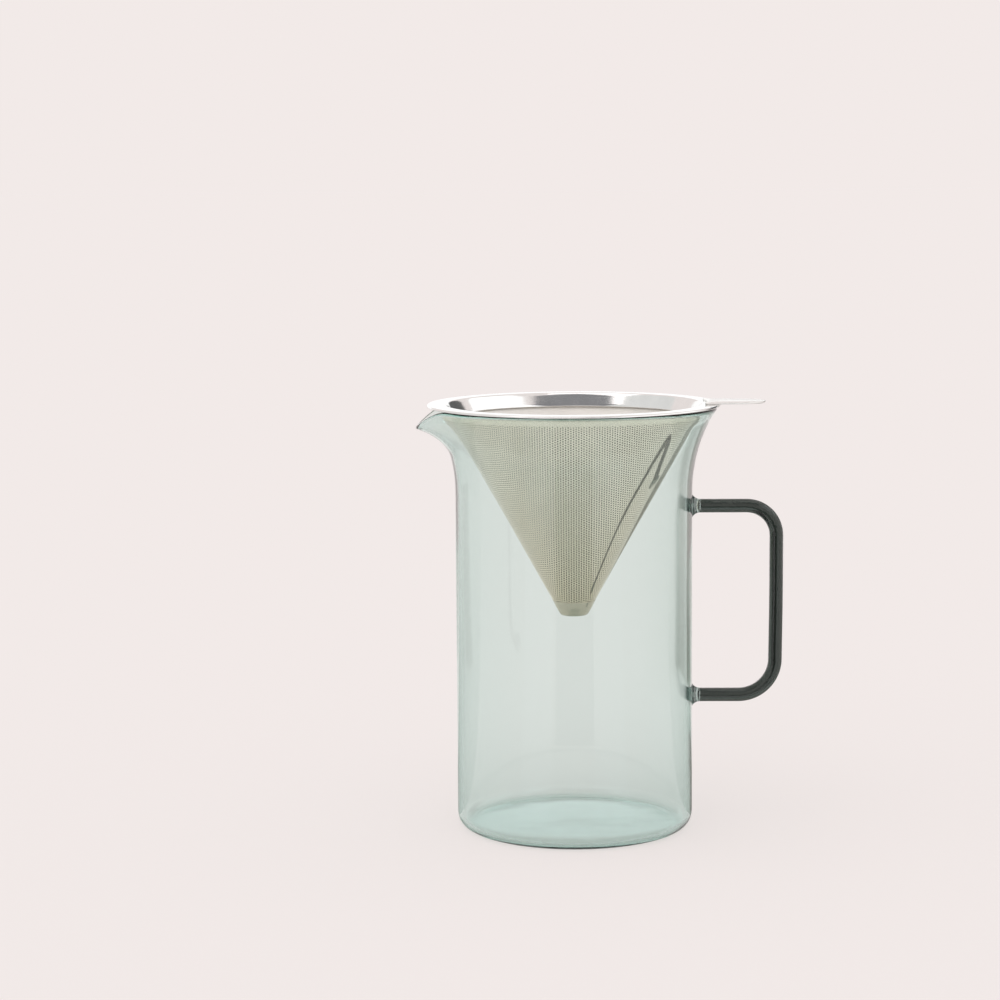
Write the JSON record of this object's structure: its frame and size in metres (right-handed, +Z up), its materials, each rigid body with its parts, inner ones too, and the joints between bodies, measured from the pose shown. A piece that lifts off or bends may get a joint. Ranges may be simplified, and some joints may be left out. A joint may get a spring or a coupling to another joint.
{
  "type": "pour-over coffee maker",
  "caption": "Pour-over coffee maker: a tinted glass jug with a pulled spout and a dark rod handle, and a steel cone filter that hangs in its mouth and lifts out.",
  "frame": {"origin": "centre of the jug's flat base, on the jug's axis", "axes": "+Z up along the jug's axis, +X towards the handle, -X towards the spout, -Y towards the camera of the picture"},
  "size_m": [0.1548, 0.1238, 0.1815],
  "materials": {
    "jug_glass": "clear, faint grey-green tint",
    "handle_glass": "clear, dark smoke-green tint",
    "bead_glass": "clear, light smoke tint",
    "polished_steel": "polished",
    "tab_steel": "satin polished",
    "perforated_steel": "finely perforated, satin",
    "mesh_steel": "fine woven mesh",
    "cap_steel": "satin"
  },
  "bodies": {
    "carafe": {"carafe_body": "jug_glass", "handle_rod": "handle_glass", "handle_weld_upper": "bead_glass", "handle_weld_lower": "bead_glass"},
    "filter": {"filter_brim": "polished_steel", "filter_tab": "tab_steel", "filter_outer_cone": "perforated_steel", "filter_inner_mesh": "mesh_steel", "filter_tip_cap": "cap_steel"}
  },
  "joints": [
    {"name": "filter_lift", "type": "slide", "parent": "carafe", "child": "filter", "axis": [0, 0, 1], "range_m": [0, 0.1]}
  ]
}
